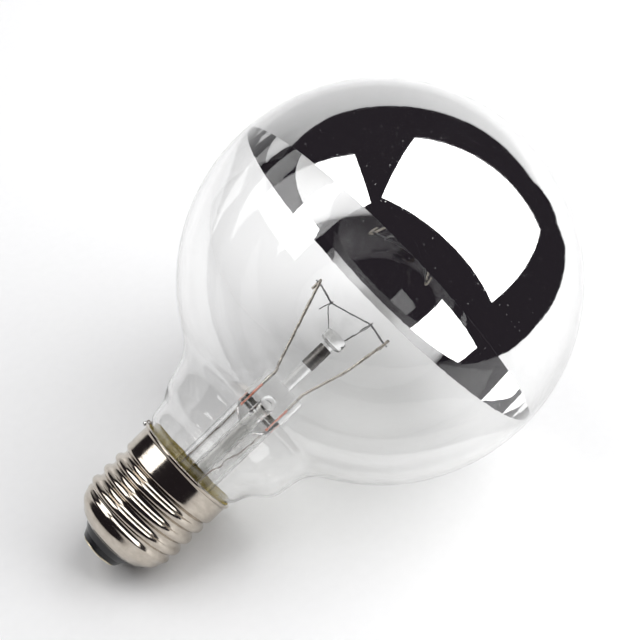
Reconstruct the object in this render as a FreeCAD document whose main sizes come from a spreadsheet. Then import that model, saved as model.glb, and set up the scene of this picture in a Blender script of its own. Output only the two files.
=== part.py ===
import FreeCAD, Part
import math
import os
import Sketcher

# A clear round incandescent lamp with a silvered crown and a screw cap, lying as it comes to rest.
# Every piece is drawn about its own axis, with the tip of the cap's solder at height 0 and the
# crown at the top. One lying placement then lays the whole lamp on its globe and cap.

V = FreeCAD.Vector
Placement = FreeCAD.Placement
Rotation = FreeCAD.Rotation

DRIVING = [
    # contact and black glass insulator, from the solder's tip up
    ("contact_base", 0.7, "underside of the contact plate above the solder's tip"),
    ("contact_sheet", 0.4, "thickness of the contact plate"),
    ("contact_share", 0.373, "contact plate's radius to that of the crests"),
    ("contact_hole", 0.8, "radius of the plate's hole"),
    ("solder_radius", 1.9, "solder drop on the plate"),
    ("foot_share", 0.395, "insulator's foot, the same"),
    ("waist_rise", 1.4, "narrow part of the insulator above the plate"),
    ("waist_share", 0.449, "narrow part's radius to that of the crests"),
    ("insulator_gap", 0.1, "insulator to cap"),
    ("insulator_fill", 2.7, "glass poured inside the cap's bottom"),
    ("insulator_share", 0.661, "that glass, its radius to that of the crests"),
    ("lead_bore", 0.5, "radius of the insulator's bore"),
    ("funnel_radius", 1.6, "mouth of that bore"),
    ("funnel_depth", 2.05, "depth of that mouth"),
    # screw cap, from its bottom up
    ("opening_height", 4.2, "hole in the cap's bottom"),
    ("opening_share", 0.57, "that hole's radius to that of the crests"),
    ("bottom_rise", 0.9, "slope round the hole"),
    ("bottom_share", 0.715, "end of the rounded bottom, the same"),
    ("shoulder_bend", 5.0, "rounded bottom of the cap"),
    ("shoulder_rise", 4.3, "height of that rounding"),
    ("shoulder_inset", 0.65, "last worn-out crest inside the others"),
    ("shoulder_run", 2.71, "last worn-out crest to the last full one"),
    ("thread_pitch", 3.63, "crest to crest"),
    ("thread_depth", 1.0, "crest to root"),
    ("crest_radius", 13.15, "thread crests and plain band"),
    ("band_length", 6.0, "first crest to the rim"),
    ("rim_flare", 0.45, "how far the rim turns out"),
    ("rim_height", 1.4, "rim over which it turns out, and the radius of that turn"),
    ("cap_sheet", 0.3, "brass sheet of the cap"),
    ("side_solder_radius", 0.72, "solder drop at the rim"),
    ("side_solder_sink", 0.03, "that drop below the rim's edge"),
    ("side_solder_rise", 0.8, "how far that drop stands out"),
    # cement between cap and neck
    ("cement_gap", 0.05, "cement to cap and glass"),
    ("cement_sink", 0.05, "cement below the rim"),
    ("cement_lap", 0.1, "cement below the first crest"),
    # glass envelope
    ("glass_wall", 0.6, "blown wall, neck included"),
    ("wall_shift", 0.06, "how much thicker the wall is below and thinner above"),
    ("neck_room", 0.55, "thread roots to the neck"),
    ("neck_depth", 11.0, "rim to the neck's lower edge"),
    ("tuck_depth", 2.0, "rim to where the neck widens"),
    ("mouth_flare", 2.7, "neck above the cap, outside the straight neck"),
    ("mouth_rise", 2.0, "neck above the cap"),
    ("step_flare", 1.3, "foot of the step outside the neck's mouth"),
    ("step_rise", 4.4, "foot of the step above the mouth"),
    ("step_round", 0.9, "lower rounding of the step"),
    ("collar_flare", 3.0, "width of the step"),
    ("collar_rise", 1.8, "height of the step"),
    ("collar_round", 1.4, "upper rounding of the step"),
    ("neck_join_flare", 2.1, "where the neck line meets the globe, outside the step"),
    ("neck_join_rise", 10.403, "where the neck line meets the globe, above the step"),
    ("neck_join_round", 9.0, "hollow curve between neck and globe"),
    ("globe_radius", 47.5, "outside of the round glass"),
    # silvering
    ("mirror_start", 1.5, "rim of the silvering above the globe's middle"),
    ("mirror_film", 0.1, "stand-in thickness of the silvering"),
    ("mirror_gap", 0.05, "silvering to glass"),
    # glass mount
    ("mount_offset", 2.6, "mount beside the lamp's axis"),
    ("mount_turn", -54.5, "turn of the wires' plane about the axis"),
    ("flare_radius", 5.5, "outside of the flare tube"),
    ("flare_wall", 0.9, "wall of the flare tube"),
    ("flare_lip", 0.6, "straight lip of the opened end"),
    ("flare_gap", 0.12, "lip to neck"),
    ("skirt_height", 6.5, "opened end of the tube"),
    ("tube_length", 20.0, "straight part of the tube"),
    ("pinch_length", 6.0, "where the tube is squeezed flat"),
    ("press_length", 7.2, "flat press"),
    ("press_overlap", 0.5, "flat press below the end of the pinch"),
    ("press_half_thickness", 1.7, "flat press, rounded along both wires"),
    ("press_round", 0.7, "rounding of the upper edge"),
    ("exhaust_radius", 1.95, "exhaust tube"),
    ("exhaust_bore", 1.25, "its bore"),
    ("exhaust_reach", 8.0, "its sealed end below the neck's edge"),
    ("exhaust_seat", 0.1, "its upper end inside the press"),
    ("blow_hole_rise", 1.4, "centre of the hole blown through the front of the press"),
    ("blow_hole_depth", 1.3, "that centre in front of the axis"),
    ("blow_hole_spread", 0.65, "that hole's radius beyond the bore's"),
    ("swelling", 0.75, "glass swollen round the exhaust tube's end"),
    ("cavity_margin", 0.7, "end of the flare's inside above the wires' ends"),
    ("cavity_slit", 0.4, "half width of the flare's inside at its end"),
    ("glass_fit", 0.02, "glass round a sealed wire or tube"),
    ("rod_radius", 1.5, "glass rod"),
    ("rod_length", 14.0, "glass rod up to its button"),
    ("button_radius", 3.0, "melted button"),
    ("button_height", 3.3, "melted button"),
    ("button_round", 1.1, "rounding of the button"),
    ("sleeve_drop", 0.9, "metal sleeve below the button"),
    ("sleeve_length", 6.2, "metal sleeve"),
    ("sleeve_wall", 0.2, "metal sleeve"),
    ("sleeve_fit", 0.03, "sleeve to rod"),
    # wires
    ("wire_half_spacing", 4.2, "sealed wires beside the mount's axis"),
    ("seal_wire_radius", 0.3, "copper-clad wire in the glass"),
    ("seal_start_rise", 3.5, "its lower end above the start of the pinch"),
    ("seal_length", 6.2, "copper-clad wire"),
    ("inner_lead_radius", 0.36, "nickel wire"),
    ("outer_lead_radius", 0.17, "thin wire to the cap"),
    ("rim_clearance", 0.05, "thin wire to the cap's rim and the neck"),
    ("hook_room", 0.03, "lead to coil in the folded hook"),
    ("tail_length", 2.8, "folded tail of a lead"),
    ("lead_bend", 2.5, "bends of the nickel wires"),
    ("thin_drop", 1.1, "left thin wire below the neck"),
    ("thin_bend", 2.0, "wide bends of the thin wires"),
    ("kink_bend", 0.4, "tight bends of the thin wires"),
    ("anchor_radius", 0.14, "molybdenum support wire"),
    ("anchor_room", 0.17, "support wire to coil in its hook"),
    ("anchor_root", 1.2, "support wire inside the button"),
    ("anchor_tail", 3.0, "support wire below its hook"),
    ("anchor_bend", 0.5, "support wire's bend below the hook"),
    ("filament_radius", 0.24, "outside of the tungsten coil"),
    ("coil_end", 0.8, "coil beyond the leads"),
    ("coil_straight", 0.9, "coil inside the leads before it bends"),
    ("coil_bend", 0.6, "coil's bend at a support"),
    ("filament_depth", 4.5, "how far the supports hold the coil aside"),
    ("lead_left_out", 12.4, "coil at the left lead, beside the mount's axis"),
    ("lead_left_rise", 22.6, "the same, above the press"),
    ("lead_right_out", 9.1, "coil at the right lead"),
    ("lead_right_rise", 23.8, "the same, above the press"),
    ("support_left_out", 6.8, "coil at the left support"),
    ("support_left_rise", 21.8, "the same, above the press"),
    ("support_right_out", 3.6, "coil at the right support"),
    ("support_right_rise", 25.1, "the same, above the press"),
    ("left_root_length", 0.8, "left lead upright above the press"),
    ("left_knee_out", 0.9, "left lead's bend, outside its root"),
    ("left_knee_rise", 2.8, "left lead's bend above the press"),
    ("left_over", 0.75, "left lead above the coil"),
    ("right_root_length", 1.6, "right lead upright above the press"),
    ("right_knee_out", 3.25, "right lead's bend, outside its root"),
    ("right_knee_rise", 12.8, "right lead's bend above the press"),
    ("right_over", 1.1, "right lead above the coil"),
]

# Sizes that follow from the ones above.
FOLLOWING = [
    ("contact_top", "=contact_base + contact_sheet"),
    ("bottom_height", "=opening_height + bottom_rise"),
    ("bottom_radius", "=crest_radius * bottom_share"),
    ("opening_radius", "=crest_radius * opening_share"),
    ("shoulder_height", "=bottom_height + shoulder_rise"),
    ("shoulder_radius", "=crest_radius - shoulder_inset"),
    ("root_radius", "=crest_radius - thread_depth"),
    ("rim_radius", "=crest_radius + rim_flare"),
    ("cap_top", "=shoulder_height + shoulder_run + 3 * thread_pitch + band_length"),
    ("waist_radius", "=crest_radius * waist_share"),
    ("waist_height", "=contact_top + waist_rise"),
    ("foot_radius", "=crest_radius * foot_share"),
    ("contact_radius", "=crest_radius * contact_share"),
    ("insulator_top", "=bottom_height + insulator_fill"),
    ("insulator_top_radius", "=crest_radius * insulator_share"),
    ("funnel_height", "=insulator_top - funnel_depth"),
    ("tuck_radius", "=root_radius - cap_sheet - neck_room"),
    ("tuck_height", "=cap_top - tuck_depth"),
    ("neck_end", "=cap_top - neck_depth"),
    ("mouth_radius", "=tuck_radius + mouth_flare"),
    ("mouth_height", "=cap_top + mouth_rise"),
    ("step_radius", "=mouth_radius + step_flare"),
    ("step_height", "=mouth_height + step_rise"),
    ("collar_radius", "=step_radius + collar_flare"),
    ("collar_height", "=step_height + collar_rise"),
    ("neck_join_radius", "=collar_radius + neck_join_flare"),
    ("neck_join_height", "=collar_height + neck_join_rise"),
    ("globe_center", "=neck_join_height + sqrt(globe_radius^2 - neck_join_radius^2)"),
    ("overall_length", "=globe_center + globe_radius"),
    ("mirror_outside", "=globe_radius - glass_wall - mirror_gap"),
    ("mirror_inside", "=mirror_outside - mirror_film"),
    ("mirror_rim_outside", "=sqrt(mirror_outside^2 - mirror_start^2)"),
    ("mirror_rim_inside", "=sqrt(mirror_inside^2 - mirror_start^2)"),
    ("thread_middle", "=(crest_radius + root_radius) / 2"),
    ("knuckle_radius", "=((thread_pitch / 2)^2 + thread_depth^2) / (4 * thread_depth)"),
    ("solder_bend", "=(solder_radius^2 + contact_base^2) / (2 * contact_base)"),
    ("neck_slope", "=mouth_flare / (mouth_rise + tuck_depth)"),
    ("cement_bottom", "=cap_top - band_length - cement_lap"),
    ("cement_top", "=cap_top - cement_sink"),
    ("cement_top_inside", "=tuck_radius + (tuck_depth - cement_sink) * neck_slope + 2 * cement_gap"),
    ("flare_straight", "=neck_end + skirt_height"),
    ("pinch_start", "=flare_straight + tube_length"),
    ("pinch_end", "=pinch_start + pinch_length"),
    ("press_start", "=pinch_end - press_overlap"),
    ("press_top", "=pinch_end + press_length"),
    ("exhaust_tip", "=neck_end - exhaust_reach"),
    ("exhaust_end", "=pinch_end + exhaust_seat"),
    ("blow_hole_height", "=exhaust_end + blow_hole_rise"),
    ("blow_hole_radius", "=exhaust_bore + blow_hole_spread"),
    ("swelling_radius", "=exhaust_radius + swelling"),
    ("button_base", "=press_top + rod_length"),
    ("button_top", "=button_base + button_height"),
    ("sleeve_base", "=button_base - sleeve_drop - sleeve_length"),
    ("seal_start", "=pinch_start + seal_start_rise"),
    ("seal_end", "=seal_start + seal_length"),
    ("hook_spacing", "=inner_lead_radius + filament_radius + hook_room"),
    ("anchor_hook", "=anchor_radius + filament_radius + anchor_room"),
]
THREAD_TURNS = 4

doc = FreeCAD.newDocument("silver_crown_lamp")
sheet = doc.addObject("Spreadsheet::Sheet", "Sizes")
for row, (name, number, note) in enumerate(DRIVING, start=1):
    sheet.set(f"A{row}", name)
    sheet.set(f"B{row}", str(number))
    sheet.set(f"C{row}", note)
    sheet.setAlias(f"B{row}", name)
for row, (name, formula) in enumerate(FOLLOWING, start=len(DRIVING) + 1):
    sheet.set(f"A{row}", name)
    sheet.set(f"B{row}", formula)
    sheet.setAlias(f"B{row}", name)
doc.recompute()


def value(text):
    """The number that a sum of named sizes stands for, such as 'cap_top - 0.5*thread_pitch'."""
    total, sign = 0.0, 1
    for word in text.split():
        if word in ("+", "-"):
            sign = 1 if word == "+" else -1
            continue
        factor, _, name = word.rpartition("*")
        total += sign * float(factor or 1) * (sheet.get(name) if name[0].isalpha() else float(name))
    return total


def bound(text):
    """The same sum as an expression on the sheet."""
    words = []
    for word in text.split():
        factor, star, name = word.rpartition("*")
        words.append(factor + star + ("Sizes." + name if name[0].isalpha() else name))
    return " ".join(words)


def arc_between(start, end, radius, side):
    """Arc from start to end, its centre to the left of the way (side 1) or to the right (-1)."""
    chord = end - start
    left = V(-chord.y, chord.x, 0).normalize()
    reach = math.sqrt(max(radius ** 2 - chord.Length ** 2 / 4, 0))
    center = (start + end) * 0.5 + left * side * reach
    first, last = (start, end) if side > 0 else (end, start)
    begin = math.atan2(first.y - center.y, first.x - center.x)
    finish = math.atan2(last.y - center.y, last.x - center.x)
    if finish <= begin:
        finish += 2 * math.pi
    return Part.ArcOfCircle(Part.Circle(center, V(0, 0, 1), radius), begin, finish), center


class Outline:
    """Lines and arcs through corners, drawn in a sketch and bound to the sheet.

    A corner is (across, up) with, if wanted, a dict: "left" or "right" makes the edge that arrives
    there an arc of that radius, its centre on that side of the way, and "round" rounds the corner.
    """

    def __init__(self, sketch, corners, closed=True):
        self.sketch = sketch
        self.corners = [(c[0], c[1], c[2] if len(c) > 2 else {}) for c in corners]
        self.points = [V(value(across), value(up), 0) for across, up, _ in self.corners]
        self.count = len(corners)
        self.spans = self.count if closed else self.count - 1
        self.directions = [self.edge_directions(k) for k in range(self.spans)]
        self.edges = [self.draw_edge(k) for k in range(self.spans)]
        for k in range(self.count):
            arriving = self.edges[k - 1] if closed or k > 0 else None
            leaving = self.edges[k] if k < self.spans else None
            self.fix_corner(k, arriving, leaving)

    def bend_of(self, corner):
        """Side and size name of the arc that arrives at a corner, or None."""
        for word, side in (("left", 1), ("right", -1)):
            if word in self.corners[corner][2]:
                return side, self.corners[corner][2][word]
        return None

    def edge_directions(self, k):
        start, end = self.points[k], self.points[(k + 1) % self.count]
        bend = self.bend_of((k + 1) % self.count)
        if bend is None:
            return [(end - start).normalize()] * 2
        side, size = bend
        center = arc_between(start, end, value(size), side)[1]
        return [V(-(p.y - center.y), p.x - center.x, 0).normalize() * side for p in (start, end)]

    def clear_of(self, corner, leaving):
        """Where an edge starts or ends once its corner is rounded."""
        extra = self.corners[corner][2]
        if "round" not in extra:
            return self.points[corner]
        into, out = self.directions[corner - 1][1], self.directions[corner][0]
        reach = value(extra["round"]) * math.tan(into.getAngle(out) / 2)
        return self.points[corner] + (out if leaving else into * -1) * reach

    def bind(self, kind, size, *where):
        index = self.sketch.addConstraint(Sketcher.Constraint(kind, *where, value(size)))
        self.sketch.setExpression(f"Constraints[{index}]", bound(size))

    def draw_arc(self, start, end, size, side):
        """Adds an arc and gives its index with the ends that lie at start and at end."""
        index = self.sketch.addGeometry(arc_between(start, end, value(size), side)[0], False)
        self.bind("Radius", size, index)
        return (index, 1, 2) if side > 0 else (index, 2, 1)

    def draw_edge(self, k):
        after = (k + 1) % self.count
        start, end = self.clear_of(k, True), self.clear_of(after, False)
        bend = self.bend_of(after)
        if bend is None:
            return (self.sketch.addGeometry(Part.LineSegment(start, end), False), 1, 2)
        return self.draw_arc(start, end, bend[1], bend[0])

    def fix_corner(self, k, arriving, leaving):
        across, up, extra = self.corners[k]
        if "round" in extra:
            into, out = self.directions[k - 1][1], self.directions[k][0]
            side = 1 if into.cross(out).z > 0 else -1
            start, end = self.clear_of(k, False), self.clear_of(k, True)
            arc, first, last = self.draw_arc(start, end, extra["round"], side)
            self.sketch.addConstraint(Sketcher.Constraint("Tangent", arriving[0], arriving[2], arc, first))
            self.sketch.addConstraint(Sketcher.Constraint("Tangent", arc, last, leaving[0], leaving[1]))
            point = self.sketch.addGeometry(Part.Point(self.points[k]), True)
            for edge in (arriving[0], leaving[0]):
                self.sketch.addConstraint(Sketcher.Constraint("PointOnObject", point, 1, edge))
            where = (point, 1)
        else:
            if arriving and leaving:
                joint = Sketcher.Constraint("Coincident", arriving[0], arriving[2], leaving[0], leaving[1])
                self.sketch.addConstraint(joint)
            where = (leaving[0], leaving[1]) if leaving else (arriving[0], arriving[2])
        for kind, axis, size in (("DistanceX", -2, across), ("DistanceY", -1, up)):
            if size == "0":
                self.sketch.addConstraint(Sketcher.Constraint("PointOnObject", *where, axis))
            else:
                self.bind(kind, size, -1, 1, *where)


def turned(label, corners):
    """A solid of revolution about the lamp's axis: a body with one outline and one revolution."""
    body = doc.addObject("PartDesign::Body", label)
    sketch = body.newObject("Sketcher::SketchObject", label + "_outline")
    plane = next(item for item in body.Origin.OriginFeatures if item.Role == "XZ_Plane")
    sketch.AttachmentSupport = [(plane, "")]
    sketch.MapMode = "FlatFace"
    Outline(sketch, corners)
    turn = body.newObject("PartDesign::Revolution", label + "_turn")
    turn.Profile = sketch
    turn.ReferenceAxis = (sketch, ["V_Axis"])
    turn.Angle = 360
    return body


def turned_sheet(label, corners, thickness):
    """A turned wall of even thickness inside an open outline, drawn from the top down."""
    sketch = doc.addObject("Sketcher::SketchObject", label + "_line")
    sketch.Placement = Placement(V(), Rotation(V(1, 0, 0), 90))
    Outline(sketch, corners, closed=False)
    section = doc.addObject("Part::Offset2D", label + "_section")
    section.Source = sketch
    section.Mode = "Skin"
    section.Join = "Intersection"
    section.Fill = True
    section.setExpression("Value", bound(thickness))
    turn = doc.addObject("Part::Revolution", label)
    turn.Source = section
    turn.Axis = V(0, 0, 1)
    turn.Angle = 360
    turn.Solid = True
    return turn


def made(label, shape):
    """A piece whose form no single feature gives."""
    piece = doc.addObject("Part::Feature", label)
    piece.Shape = shape
    return piece


def bent_wire(points, radius, bends):
    """Round wire along straight runs joined by tangent arcs. bends holds one radius per inner point."""
    edges = []
    start = points[0]
    for before, corner, after, bend in zip(points, points[1:], points[2:], bends):
        into, out = (corner - before).normalize(), (after - corner).normalize()
        turn = into.getAngle(out)
        reach = bend * math.tan(turn / 2)
        first, last = corner - into * reach, corner + out * reach
        inward = (out - into).normalize()
        middle = corner + inward * (bend / math.cos(turn / 2) - bend)
        edges.append(Part.makeLine(start, first))
        edges.append(Part.Arc(first, middle, last).toShape())
        start = last
    edges.append(Part.makeLine(start, points[-1]))
    path = Part.Wire(edges)
    heading = (points[1] - points[0]).normalize()
    ring = Part.Wire([Part.makeCircle(radius, points[0], heading)])
    return path.makePipeShell([ring], True, False)


# Glass globe: blown in one piece, from the crown down to the edge that is sealed in the cap. The
# wall is a little thicker on the side that the lamp comes to lie on, as its inside sits off-centre.
globe_line = [
    ("0", "overall_length"),
    ("neck_join_radius", "neck_join_height", {"right": "globe_radius", "round": "neck_join_round"}),
    ("collar_radius", "collar_height", {"round": "collar_round"}),
    ("step_radius", "step_height", {"round": "step_round"}),
    ("mouth_radius", "mouth_height"),
    ("tuck_radius", "tuck_height"),
    ("tuck_radius", "neck_end"),
]
even_wall = turned_sheet("even_wall", globe_line, "glass_wall")
globe_blank = turned("globe_blank", globe_line + [("0", "neck_end")])

# Silvering on the inside of the crown, from just above the globe's middle.
mirror_crown = turned("mirror_crown", [
    ("0", "globe_center + mirror_outside"),
    ("mirror_rim_outside", "globe_center + mirror_start", {"right": "mirror_outside"}),
    ("mirror_rim_inside", "globe_center + mirror_start"),
    ("0", "globe_center + mirror_inside", {"left": "mirror_inside"}),
])

# Cap: drawn from brass sheet, its round thread rolled in as even knuckles, crest and root alike.
cap_line = [
    ("rim_radius", "cap_top"),
    ("crest_radius", "cap_top - rim_height", {"round": "rim_height"}),
    ("crest_radius", "cap_top - band_length"),
]
for turn_index in range(THREAD_TURNS):
    crest = f"cap_top - band_length - {turn_index}*thread_pitch"
    if turn_index:
        cap_line.append(("thread_middle", crest + " + 0.25*thread_pitch", {"left": "knuckle_radius"}))
    cap_line.append(("thread_middle", crest + " - 0.25*thread_pitch", {"right": "knuckle_radius"}))
cap_line += [
    ("shoulder_radius", "shoulder_height", {"left": "knuckle_radius"}),
    ("bottom_radius", "bottom_height", {"right": "shoulder_bend"}),
    ("opening_radius", "opening_height"),
]
cap_shell = turned_sheet("cap_shell", cap_line, "-1*cap_sheet")

# Black glass that fills the cap's bottom and carries the contact, with a bore for one lead.
cap_insulator = turned("cap_insulator", [
    ("lead_bore", "contact_top"),
    ("foot_radius", "contact_top"),
    ("waist_radius", "waist_height"),
    ("opening_radius - insulator_gap", "opening_height"),
    ("opening_radius - 3*insulator_gap", "opening_height + cap_sheet + insulator_gap"),
    ("insulator_top_radius", "bottom_height + 0.5*cap_sheet"),
    ("insulator_top_radius", "insulator_top"),
    ("funnel_radius", "insulator_top"),
    ("lead_bore", "funnel_height"),
])

# Brass contact plate under the insulator, and the solder that closes its hole over the lead.
centre_contact = turned("centre_contact", [
    ("contact_hole", "contact_base"),
    ("contact_radius - 0.5*contact_sheet", "contact_base"),
    ("contact_radius", "contact_base + 0.5*contact_sheet"),
    ("contact_radius", "contact_top"),
    ("contact_hole", "contact_top"),
])
contact_solder = turned("contact_solder", [
    ("0", "0"),
    ("solder_radius", "contact_base", {"left": "solder_bend"}),
    ("contact_hole", "contact_base"),
    ("contact_hole", "contact_top"),
    ("0", "contact_top"),
])

# Exhaust tube with its melted-off tip, the glass rod with its button, and the sleeve on the rod.
exhaust_tube = turned("exhaust_tube", [
    ("0", "exhaust_tip"),
    ("exhaust_radius", "exhaust_tip + exhaust_radius", {"left": "exhaust_radius"}),
    ("exhaust_radius", "exhaust_end"),
    ("exhaust_bore", "exhaust_end"),
    ("exhaust_bore", "exhaust_tip + exhaust_radius"),
    ("0", "exhaust_tip + exhaust_radius - exhaust_bore", {"right": "exhaust_bore"}),
])
rod_blank = turned("rod_blank", [
    ("0", "press_top"),
    ("rod_radius", "press_top"),
    ("rod_radius", "button_base"),
    ("button_radius", "button_base", {"round": "button_round"}),
    ("button_radius", "button_top", {"round": "button_round"}),
    ("0", "button_top"),
])
rod_sleeve = turned("rod_sleeve", [
    ("rod_radius + sleeve_fit", "sleeve_base"),
    ("rod_radius + sleeve_fit + sleeve_wall", "sleeve_base"),
    ("rod_radius + sleeve_fit + sleeve_wall", "sleeve_base + sleeve_length"),
    ("rod_radius + sleeve_fit", "sleeve_base + sleeve_length"),
])
doc.recompute()

wall_shift = V(-value("wall_shift"), 0, 0)
globe_inside = globe_blank.Shape.cut(even_wall.Shape).translated(wall_shift)
globe = made("globe", globe_blank.Shape.cut(globe_inside))

# Wires of the mount. x runs across the press, y to the far side of the lamp, z up the axis.
spacing = value("wire_half_spacing")
hook = value("hook_spacing")
seal_start, seal_end = value("seal_start"), value("seal_end")
press_top = value("press_top")
thin = value("outer_lead_radius")
offset = value("mount_offset")


def seal_wire(side, clearance=0):
    """Straight copper-clad wire through the glass."""
    foot = V(side * spacing, 0, seal_start)
    return Part.makeCylinder(value("seal_wire_radius") + clearance, seal_end - seal_start, foot)


def inner_lead(route):
    """Nickel wire up from the press, folded back at its end to clamp the coil."""
    behind = route[-1] + V(0, 2 * hook, 0)
    points = route + [behind, behind - V(0, 0, value("tail_length"))]
    bends = [value("lead_bend")] * (len(route) - 2) + [0.98 * hook] * 2
    return bent_wire(points, value("inner_lead_radius"), bends)


def support_wire(root, top, tail, clearance=0):
    """Thin wire from the button, hooked over the coil from the near side."""
    reach = value("anchor_hook")
    near, far = top - V(0, reach, 0), top + V(0, reach, 0)
    rise = V(0, 0, reach)
    points = [root, near - V(0, 0, 2 * reach), near + rise, far + rise, tail]
    bends = [value("anchor_bend"), 0.98 * reach, 0.98 * reach]
    return bent_wire(points, value("anchor_radius") + clearance, bends)


def held_point(side, out, rise, depth):
    """A point of the coil at a lead or a support, by the names of its sizes."""
    return V(side * value(out), value(depth), press_top + value(rise))


coil_left = held_point(-1, "lead_left_out", "lead_left_rise", "hook_spacing")
coil_right = held_point(1, "lead_right_out", "lead_right_rise", "hook_spacing")
held_left = held_point(-1, "support_left_out", "support_left_rise", "filament_depth")
held_right = held_point(1, "support_right_out", "support_right_rise", "filament_depth")

left_route = [
    V(-spacing, 0, seal_end),
    V(-spacing, 0, press_top + value("left_root_length")),
    V(-spacing - value("left_knee_out"), 0, press_top + value("left_knee_rise")),
    coil_left + V(0, -hook, value("left_over")),
]
right_route = [
    V(spacing, 0, seal_end),
    V(spacing, 0, press_top + value("right_root_length")),
    V(spacing + value("right_knee_out"), 0, press_top + value("right_knee_rise")),
    coil_right + V(0, -hook, value("right_over")),
]
coil_route = [
    coil_left - V(value("coil_end"), 0, 0),
    coil_left + V(value("coil_straight"), 0, 0),
    held_left,
    held_right,
    coil_right - V(value("coil_straight"), 0, 0),
    coil_right + V(value("coil_end"), 0, 0),
]

# The left thin wire leaves the flare, turns up between neck and cap and lies over the cap's rim.
neck_side = value("tuck_radius") + value("rim_clearance") + thin
rim_inside = value("rim_radius") - value("cap_sheet") - 3 * value("rim_clearance") - thin
rim_outside = value("rim_radius") + value("rim_clearance") + thin
over_rim = value("cap_top") + 3 * value("rim_clearance") + thin
below_neck = value("neck_end - thin_drop")
flare_drop = seal_start - value("flare_straight")
bend, kink = value("thin_bend"), value("kink_bend")


def in_flare(across, depth, down):
    """A point of a thin wire: sideways in wire spacings, down in shares of the flare's length."""
    return V(across * spacing, depth * spacing, seal_start - down * flare_drop)


left_thin = [
    in_flare(-1, 0, 0),
    in_flare(-1, 0, 0.04),
    in_flare(-0.96, 0, 0.26),
    in_flare(-1, 0, 1),
    V(-1.8 * spacing, 0, below_neck),
    V(-offset - neck_side, 0, below_neck),
    V(-offset - neck_side, 0, value("tuck_height")),
    V(-offset - rim_inside, 0, value("cap_top - 0.2*rim_height")),
    V(-offset - rim_inside, 0, over_rim),
    V(-offset - rim_outside, 0, over_rim),
    V(-offset - rim_outside, 0, value("cap_top - 0.5*rim_height")),
]
left_bends = [bend, 2 * bend, 2 * bend, 2 * kink, kink, 1.5 * bend, 0.75 * kink, 0.5 * kink, 0.5 * kink]
# The right thin wire passes in front of the exhaust tube and down the insulator's bore.
right_thin = [
    in_flare(1, 0, 0),
    in_flare(1, 0, 0.04),
    in_flare(0.99, -0.05, 0.2),
    in_flare(0.88, -0.12, 0.38),
    in_flare(0.61, -0.21, 0.53),
    in_flare(0.68, -0.24, 0.57),
    in_flare(0.48, -0.33, 0.67),
    in_flare(0.38, -0.45, 1),
    V(0.12 * spacing, -0.62 * spacing, value("exhaust_tip + 0.2*exhaust_radius")),
    V(-offset, 0, value("insulator_top + 0.5*funnel_radius")),
    V(-offset, 0, value("contact_top")),
]
right_bends = [bend, 2 * bend, bend, kink, kink, bend, 1.5 * bend, 1.5 * kink, 1.5 * kink]

inner_leads = {
    "inner_lead_left": inner_lead(left_route),
    "inner_lead_right": inner_lead(right_route),
}
outer_leads = {
    "outer_lead_left": bent_wire(left_thin, thin, left_bends),
    "outer_lead_right": bent_wire(right_thin, thin, right_bends),
}
root_height = V(0, 0, (value("button_base") + value("button_top")) / 2)
root_reach = value("button_radius") - value("anchor_root")
tail = value("anchor_tail")
anchor_routes = [
    (V(-0.93, 0.37, 0) * root_reach + root_height, held_left, held_left + V(-0.33, 0.13, -1) * tail),
    (V(0.75, 0.66, 0) * root_reach + root_height, held_right, held_right + V(-0.28, 0.14, -1) * tail),
]
support_wires = {
    "anchor_left": support_wire(*anchor_routes[0]),
    "anchor_right": support_wire(*anchor_routes[1]),
}
coil_bends = [value("coil_bend") * factor for factor in (2, 1, 1, 2)]


def pinched(radius, top, slit, foot):
    """Tube from foot up, squeezed flat from both sides between pinch_start and top."""
    start = value("pinch_start")
    half = [(radius, foot), (radius, start), (slit, top)]
    corners = [V(-radius, y, z) for y, z in half] + [V(-radius, -y, z) for y, z in reversed(half)]
    wedge = Part.Face(Part.makePolygon(corners + corners[:1])).extrude(V(2 * radius, 0, 0))
    return Part.makeCylinder(radius, top - foot, V(0, 0, foot)).common(wedge)


def opened_end(shrink):
    """The flare's skirt: from the neck's lower edge, round the lamp's axis, up to the tube."""
    lip = value("tuck_radius") - value("glass_wall") - value("flare_gap") - shrink
    tube = value("flare_radius") - shrink
    base, top = value("neck_end") + value("flare_lip"), value("flare_straight")
    rings = []
    for rise, spread in ((0, 1.0), (0.25, 0.56), (0.55, 0.2), (1.0, 0.0)):
        radius = tube + (lip - tube) * spread
        center = V(-offset * spread, 0, base + (top - base) * rise)
        rings.append(Part.Wire([Part.makeCircle(radius, center)]))
    skirt = Part.makeLoft(rings, True, False)
    return skirt.fuse(Part.makeCylinder(lip, value("flare_lip"), V(-offset, 0, value("neck_end"))))


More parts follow.
